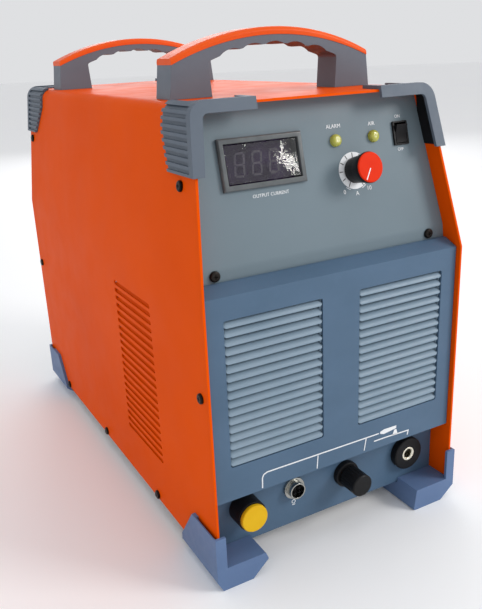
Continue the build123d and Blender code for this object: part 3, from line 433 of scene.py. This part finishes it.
def joint_named(name):
    return next(j for j in frame["record"]["behaviour"]["joints"] if j["name"] == name)


KNOB_SPOT = Vector(joint_named("current_knob_turn")["pos_m"])
PANEL_NORMAL = -Vector(joint_named("current_knob_turn")["axis"]).normalized()
PANEL_UP = PANEL_NORMAL.cross(Vector((1, 0, 0)))


def facing(origin, up, normal):
    """Matrix of a flat drawing: x across, y up, z out of the surface."""
    pose = Matrix((up.cross(normal), up, normal)).transposed().to_4x4()
    pose.translation = origin
    return pose


def panel_spot(node, across=0.0, up=0.0, lift=0.0):
    """Drawing matrix on the raked panel, beside the middle of a node (millimetres)."""
    middle = centre_of(node)
    middle = middle - PANEL_NORMAL * (middle - KNOB_SPOT).dot(PANEL_NORMAL)
    place = middle + (Vector((1, 0, 0)) * across + PANEL_UP * up + PANEL_NORMAL * lift) * MM
    return facing(place, PANEL_UP, PANEL_NORMAL)


def front_spot(x, y, z):
    """Drawing matrix on an upright face that looks to the front (metres)."""
    return facing(Vector((x, y, z)), Vector((0, 0, 1)), Vector((0, -1, 0)))


def add_plate(work, outline, pose, thickness=0.25 * MM):
    """A thin raised plate from an outline in millimetres."""
    low = [work.verts.new(pose @ Vector((x * MM, y * MM, 0))) for x, y in outline]
    high = [work.verts.new(pose @ Vector((x * MM, y * MM, thickness))) for x, y in outline]
    work.faces.new(high)
    work.faces.new(low[::-1])
    for index in range(len(outline)):
        after = (index + 1) % len(outline)
        work.faces.new((low[index], low[after], high[after], high[index]))


def add_line(work, points, width, pose, thickness=0.25 * MM):
    """A line of even width through points in millimetres, with mitred corners."""
    path = [Vector((x, y)) for x, y in points]
    left, right = [], []
    for index, point in enumerate(path):
        before = (point - path[index - 1]).normalized() if index else None
        after = (path[index + 1] - point).normalized() if index < len(path) - 1 else None
        along = ((before or after) + (after or before)).normalized()
        across = Vector((-along.y, along.x))
        spread = width / 2 / max(0.5, along.dot(after or before))
        left.append(point + across * spread)
        right.append(point - across * spread)
    add_plate(work, [(p.x, p.y) for p in right + left[::-1]], pose, thickness)


def way_at(degrees):
    """Unit vector in a drawing, with its angle counted from the right."""
    turn = math.radians(degrees)
    return Vector((math.cos(turn), math.sin(turn)))


def add_ring(work, inner, outer, pose, thickness, start=0.0, sweep=360.0, steps=96):
    """A flat ring, whole or in part, with its angles counted from the right."""
    corners = []
    for index in range(steps + 1):
        way = way_at(start + sweep * index / steps) * MM
        rows = ((inner, 0), (outer, 0), (outer, thickness), (inner, thickness))
        corners.append([work.verts.new(pose @ Vector((way.x * r, way.y * r, h))) for r, h in rows])
    for first, second in zip(corners, corners[1:]):
        for index in range(4):
            after = (index + 1) % 4
            work.faces.new((first[index], first[after], second[after], second[index]))
    bmesh.ops.remove_doubles(work, verts=work.verts, dist=1e-7)


def add_text(work, text, size, pose):
    """Generic lettering as thin plates, centred on the drawing's origin."""
    curve = bpy.data.curves.new("lettering", "FONT")
    curve.body = text
    curve.size = size * MM
    curve.align_x = "CENTER"
    curve.align_y = "CENTER"
    curve.extrude = 0.1 * MM
    curve.resolution_u = 3
    holder = bpy.data.objects.new("lettering", curve)
    bpy.context.scene.collection.objects.link(holder)
    graph = bpy.context.evaluated_depsgraph_get()
    mesh = bpy.data.meshes.new_from_object(holder.evaluated_get(graph))
    mesh.transform(pose @ Matrix.Translation((0, 0, 0.12 * MM)))
    work.from_mesh(mesh)
    bpy.data.objects.remove(holder)
    bpy.data.curves.remove(curve)
    bpy.data.meshes.remove(mesh)


DIAL_INNER = 9.0
DIAL_OUTER = 15.6
DIAL_STEPS = 10
DIAL_STEP_ANGLE = 30
DIAL_START_ANGLE = 240
DIAL_WORDS = (("0", -12.5, -17.0), ("A", 0.5, -19.5), ("10", 13.5, -16.5))
END_MARK_STARTS = (232, 292)


def knob_markings():
    """White dial ring on the panel with ticks and end marks, and the knob's pointer."""
    dial = facing(KNOB_SPOT + PANEL_NORMAL * 0.05 * MM, PANEL_UP, PANEL_NORMAL)
    work = bmesh.new()
    add_ring(work, DIAL_INNER, DIAL_OUTER, dial, 0.3 * MM)
    publish("dial_ring", work, WHITE_INK, "casing", False)
    ticks = bmesh.new()
    over = facing(KNOB_SPOT + PANEL_NORMAL * 0.4 * MM, PANEL_UP, PANEL_NORMAL)
    for index in range(DIAL_STEPS + 1):
        way = way_at(DIAL_START_ANGLE - DIAL_STEP_ANGLE * index)
        inner = 11.6 if index % 5 else 10.6
        add_line(ticks, (way * inner, way * (DIAL_OUTER - 0.4)), 0.7, over, 0.08 * MM)
    publish("dial_ticks", ticks, BLACK_INK, "casing", False)
    marks = bmesh.new()
    for text, across, up in DIAL_WORDS:
        pose = dial @ Matrix.Translation((across * MM, up * MM, 0))
        add_text(marks, text, 5.2, pose)
    for start in END_MARK_STARTS:
        add_ring(marks, DIAL_OUTER + 0.8, DIAL_OUTER + 1.3, dial, 0.2 * MM, start, 16, 8)
    publish("dial_marks", marks, WHITE_INK, "casing", False)
    top = max((KNOB_SPOT - v.co).dot(-PANEL_NORMAL) for v in NODES["knob_cap"].data.vertices)
    crown = facing(KNOB_SPOT + PANEL_NORMAL * (top - 0.02 * MM), PANEL_UP, PANEL_NORMAL)
    pointer = bmesh.new()
    way = way_at(DIAL_START_ANGLE)
    add_line(pointer, (way * 1.0, way * 11.4), 0.9, crown, 0.12 * MM)
    publish("knob_pointer", pointer, WHITE_INK, "current_knob", False)


def panel_labels():
    """Generic words beside the meter, the lamps and the rocker."""
    work = bmesh.new()
    low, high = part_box("indicator_lenses")
    reach = ((high[0] - low[0]) / 2) / MM - 5.2
    add_text(work, "ALARM", 4.6, panel_spot("indicator_lenses", -reach, 11.5))
    add_text(work, "AIR", 4.6, panel_spot("indicator_lenses", reach, 10.5))
    add_text(work, "OUTPUT CURRENT", 3.9, panel_spot("meter_window", 4.0, -26.5))
    add_text(work, "ON", 3.8, panel_spot("rocker_housing", -0.5, 14.0))
    add_text(work, "OFF", 3.8, panel_spot("rocker_housing", -1.0, -14.5))
    publish("panel_labels", work, WHITE_INK, "casing", False)


SEGMENTS = (
    ((-3.4, 9), (3.4, 9)),
    ((4, 8.4), (4, 0.6)),
    ((4, -0.6), (4, -8.4)),
    ((-3.4, -9), (3.4, -9)),
    ((-4, -0.6), (-4, -8.4)),
    ((-4, 8.4), (-4, 0.6)),
    ((-3.4, 0), (3.4, 0)),
)
SEGMENT_WIDTH = 1.7
DIGIT_COUNT = 3
DIGIT_PITCH = 16.0
DIGIT_LEAN = Matrix(((1, 0.12, 0, 0), (0, 1, 0, 0), (0, 0, 1, 0), (0, 0, 0, 1)))


def meter_digits():
    """Dim seven-segment digits on the display."""
    depth = (centre_of("meter_display") - KNOB_SPOT).dot(PANEL_NORMAL) + 1.0 * MM
    work = bmesh.new()
    for digit in range(DIGIT_COUNT):
        across = (digit - (DIGIT_COUNT - 1) / 2) * DIGIT_PITCH
        pose = panel_spot("meter_display", across, 0, depth / MM + 0.02)
        for stroke in SEGMENTS:
            add_line(work, stroke, SEGMENT_WIDTH, pose @ DIGIT_LEAN, 0.1 * MM)
    publish("meter_digits", work, DIM_SEGMENT, "casing", False)


FILM_COLUMNS = 72
FILM_ROWS = 36
FILM_THICKNESS = 0.12 * MM
FILM_LIFT = 0.9 * MM
FILM_SWELL = 1.25
FILM_FOLD = 0.75
FILM_FOLD_WIDTH = 1.9 * MM
FILM_DEPTH = 0.85 * MM


def meter_film():
    """A loose film with soft swells and one upright fold, in place of the meter's window."""
    low, high = (Vector(corner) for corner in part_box("meter_display"))
    width = (high.x - low.x) / 2 - 0.3 * MM
    height = width * 0.46
    pose = panel_spot("meter_window", 0, 0, 1.5)
    waves = [
        (random.uniform(60, 230), random.uniform(-200, 200), random.uniform(0, 6.28))
        for _ in range(9)
    ]
    film = bmesh.new()
    grid = []
    for row in range(FILM_ROWS + 1):
        line = []
        for column in range(FILM_COLUMNS + 1):
            x = width * (2 * column / FILM_COLUMNS - 1)
            y = height * (2 * row / FILM_ROWS - 1)
            swell = sum(math.sin(a * x + b * y + c) for a, b, c in waves) / len(waves)
            across = (x + 0.58 * width - 0.16 * y) / FILM_FOLD_WIDTH
            fold = math.exp(-across * across)
            lift = FILM_LIFT + (swell * FILM_SWELL + fold * FILM_FOLD) * FILM_DEPTH
            line.append(film.verts.new(pose @ Vector((x, y, lift))))
        grid.append(line)
    for first, second in zip(grid, grid[1:]):
        for column in range(FILM_COLUMNS):
            after = column + 1
            film.faces.new((first[column], first[after], second[after], second[column]))
    sheet = publish("meter_film", film, MATERIALS["clear_window"], "casing")
    skin = sheet.modifiers.new("thickness", "SOLIDIFY")
    skin.thickness = FILM_THICKNESS
    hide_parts("meter_window")


OUTLETS = ("torch_connector_body", "trigger_socket_shell", "pilot_terminal_stud", "work_socket_body")
MAIN_LINE = 1.1
BRANCH_LINE = 0.9


def bezel_schematic():
    """Printed lines along the bezel's lower edge, leading to the outlets below it."""
    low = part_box("front_bezel")[0]
    pose = front_spot(0, low[1] - 0.02 * MM, low[2])
    torch, trigger, pilot, work_lead = (
        centre_of(node).x / MM
        for node in OUTLETS
    )
    work = bmesh.new()
    rise = ((torch + 8.7, 1.8), (torch + 9.0, 12.0), (torch + 10.4, 14.6), (torch + 13.8, 16))
    add_line(work, (*rise, (pilot + 23, 15.1)), MAIN_LINE, pose)
    add_line(work, ((trigger + 13, 14.6), (trigger + 11.9, 1.7)), BRANCH_LINE, pose)
    add_line(work, ((pilot + 8.2, 14.8), (pilot + 6.1, 2.6)), BRANCH_LINE, pose)
    nozzle = ((24.6, 14.2), (29, 12.8), (43.6, 14.6), (43.8, 17.4), (29, 17.6), (24.6, 16.2))
    add_plate(work, [(pilot + x, y) for x, y in nozzle], pose)
    plate_line = ((-56, 8.6), (-42, 8.6), (-14.8, 7.7), (-15.8, 3.1))
    add_line(work, [(work_lead + x, y) for x, y in plate_line], MAIN_LINE, pose)
    clamp = ((-34, 8.4), (-28, 8.4), (-29.5, 13.4), (-32, 13.4))
    add_plate(work, [(work_lead + x, y) for x, y in clamp], pose)
    publish("outlet_lines", work, WHITE_INK, "casing", False)
    mark_work = bmesh.new()
    connector_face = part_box("connector_panel")[0][1]
    height = centre_of("trigger_socket_shell").z - 15.5 * MM
    under = front_spot(trigger * MM, connector_face - 0.02 * MM, height)
    add_ring(mark_work, 1.5, 2.1, under, 0.2 * MM, 0, 360, 24)
    add_line(mark_work, ((-1.6, -3.2), (1.6, -3.2)), 0.6, under)
    publish("trigger_mark", mark_work, WHITE_INK, "casing", False)


# Sizes of the black sheets that stand for the shade under the front guards (painted shade).
SHADE_LINING_DEPTH = 46 * MM
SHADE_LINING_SETBACK = 0.6 * MM
SHADE_LINING_THICKNESS = 0.8 * MM
SHADE_LINING_GAP = 0.05 * MM
SHADE_LINING_RISE = 1 * MM
WALL_NEAREST = 80 * MM


def painted_shade_linings():
    """Painted shade: thin black sheets lining the cover's inner walls in front of the control panel,
    standing for the shade under the front guards.
    """
    low = Vector(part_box("outer_cover")[0])
    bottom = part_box("guard_front_right")[0][2]
    for name, side in (("left", -1), ("right", 1)):
        work = bmesh.new()
        work.from_mesh(NODES["outer_cover"].data)
        work.normal_update()
        unwanted = [
            face for face in work.faces
            if face.normal.x * side > -0.9 or face.calc_center_median().x * side < WALL_NEAREST
        ]
        bmesh.ops.delete(work, geom=unwanted, context="FACES")
        for spot, away in (
            (Vector((0, low.y + SHADE_LINING_DEPTH, 0)), Vector((0, 1, 0))),
            (Vector((0, low.y + SHADE_LINING_SETBACK, 0)), Vector((0, -1, 0))),
            (Vector((0, 0, bottom + SHADE_LINING_RISE)), Vector((0, 0, -1))),
        ):
            parts = work.verts[:] + work.edges[:] + work.faces[:]
            bmesh.ops.bisect_plane(work, geom=parts, plane_co=spot, plane_no=away, clear_outer=True)
        for vert in work.verts:
            vert.co.x -= SHADE_LINING_GAP * side
        grown = bmesh.ops.extrude_face_region(work, geom=work.faces[:])
        for vert in (item for item in grown["geom"] if isinstance(item, bmesh.types.BMVert)):
            vert.co.x -= SHADE_LINING_THICKNESS * side
        bmesh.ops.recalc_face_normals(work, faces=work.faces[:])
        # Each sheet is painted shade: a black lining where the cover's wall lies in the guard's shadow.
        publish(f"painted_shade_lining_{name}", work, MATERIALS["black_plastic"], "casing", False)


SLAT_COUNT = 17
SLAT_LENGTH = 92.6 * MM
SLAT_SECTION = (
    (0.2, 0.0),
    (0.15, 0.9),
    (1.3, 2.9),
    (4.2, 5.4),
    (9.0, 6.2),
    (9.0, 4.4),
    (4.6, 3.2),
    (1.3, 0.0),
)
SLAT_END_LENGTH = 2.4 * MM
SLAT_END_STEPS = (0.0, 0.06, 0.2, 0.45, 0.75, 1.0)
SLAT_LEAST_SCALE = 0.18
RAIL_WIDTH = 3.0 * MM
RAIL_DEPTH = 7.6 * MM
RAIL_SETBACK = 6.9 * MM
RAIL_OVERLAP = 0.5 * MM
WINDOW_EDGE = 2.1 * MM


def louvre_slats():
    """Sloping slats with rounded ends, on rails behind the bezel's wall."""
    low, high = (Vector(corner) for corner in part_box("louvre_inserts"))
    pitch = (high.z - low.z) / SLAT_COUNT
    section = [(y * MM, z * MM) for y, z in SLAT_SECTION]
    middle_y = sum(y for y, z in section) / len(section)
    middle_z = sum(z for y, z in section) / len(section)
    work = bmesh.new()
    bezel_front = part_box("front_bezel")[0][1]
    outer = high.x - WINDOW_EDGE
    inner = outer - SLAT_LENGTH
    for side in (-1, 1):
        for index in range(SLAT_COUNT):
            foot = low.z + pitch * (index + 0.14)
            rings = []
            for part in SLAT_END_STEPS:
                rings.append((inner + part * SLAT_END_LENGTH, math.sqrt(1 - (1 - part) ** 2)))
            rings += [(outer + inner - x, scale) for x, scale in reversed(rings)]
            loops = []
            for x, scale in rings:
                scale = max(scale, SLAT_LEAST_SCALE)
                loops.append([
                    work.verts.new((
                        side * x,
                        bezel_front + middle_y + (y - middle_y) * (0.75 + 0.25 * scale),
                        foot + middle_z + (z - middle_z) * scale,
                    ))
                    for y, z in section
                ])
            for first, second in zip(loops, loops[1:]):
                for corner in range(len(section)):
                    after = (corner + 1) % len(section)
                    work.faces.new((first[corner], first[after], second[after], second[corner]))
            work.faces.new(loops[0][::-1])
            work.faces.new(loops[-1])
        for x in (inner - RAIL_OVERLAP, outer + RAIL_OVERLAP):
            spot = Vector((side * x, bezel_front + RAIL_SETBACK, (low.z + high.z) / 2))
            rail = bmesh.ops.create_cube(work, size=1.0)
            size = Matrix.Diagonal((RAIL_WIDTH, RAIL_DEPTH, high.z - low.z, 1))
            bmesh.ops.transform(work, matrix=Matrix.Translation(spot) @ size, verts=rail["verts"])
    bmesh.ops.recalc_face_normals(work, faces=work.faces)
    # The slats and rails take the lighter louvre_plastic: painted light on the upward slats.
    piece = publish("louvre_slats", work, MATERIALS["louvre_plastic"], "casing")
    soften(piece, 0.35 * MM, 2, 34)
    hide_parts("louvre_inserts")


# ---------------------------------------------------------------- stage


FLOOR_RADII = (0.5, 1.2, 3.0, 7.0, 14.0)
FLOOR_SIDES = 96
SKY_COLOUR = (0.97, 0.98, 1.0, 1.0)
SKY_STRENGTH = 0.76
LIGHTS = (
    ("key", (1.5, -1.6, 1.3), 0.8, 25.0, (1.0, 0.98, 0.96)),
    ("top", (0.2, 0.0, 2.3), 1.6, 6.0, (0.97, 0.98, 1.0)),
    ("side", (-2.2, 0.75, 1.0), 1.3, 2.0, (1.0, 0.99, 0.97)),
    ("back", (1.15, 2.2, 1.15), 1.5, 15.0, (1.0, 1.0, 1.0)),
)
LIGHTS_AIM = Vector((0, 0, 0.2))


def make_floor():
    """Wide flat pale floor."""
    work = bmesh.new()
    spots = [2 * math.pi * index / FLOOR_SIDES for index in range(FLOOR_SIDES)]
    rings = []
    for radius in FLOOR_RADII:
        rings.append([work.verts.new((radius * math.cos(t), radius * math.sin(t), 0)) for t in spots])
    work.faces.new(rings[0])
    for inner, outer in zip(rings, rings[1:]):
        for index in range(FLOOR_SIDES):
            after = (index + 1) % FLOOR_SIDES
            work.faces.new((inner[index], outer[index], outer[after], inner[after]))
    mesh = bpy.data.meshes.new("floor")
    work.to_mesh(mesh)
    work.free()
    for polygon in mesh.polygons:
        polygon.use_smooth = True
    mesh.materials.append(floor_finish())
    floor = bpy.data.objects.new("floor", mesh)
    bpy.context.scene.collection.objects.link(floor)


def make_lighting():
    """Even sky and soft studio lights."""
    world = bpy.data.worlds.new("surroundings")
    world.use_nodes = True
    sky = world.node_tree.nodes["Background"]
    sky.inputs["Color"].default_value = SKY_COLOUR
    sky.inputs["Strength"].default_value = SKY_STRENGTH
    bpy.context.scene.world = world
    # The default view transform would wash out the orange and the red.
    bpy.context.scene.view_settings.view_transform = "Standard"
    for name, spot, size, power, colour in LIGHTS:
        data = bpy.data.lights.new(name, "AREA")
        data.size = size
        data.energy = power
        data.color = colour
        lamp = bpy.data.objects.new(name, data)
        lamp.location = spot
        lamp.rotation_euler = (LIGHTS_AIM - Vector(spot)).to_track_quat("-Z", "Y").to_euler()
        bpy.context.scene.collection.objects.link(lamp)


make_camera()
make_floor()
make_lighting()
finish_nodes()
painted_shade_linings()
louvre_slats()
knob_markings()
panel_labels()
meter_digits()
meter_film()
bezel_schematic()
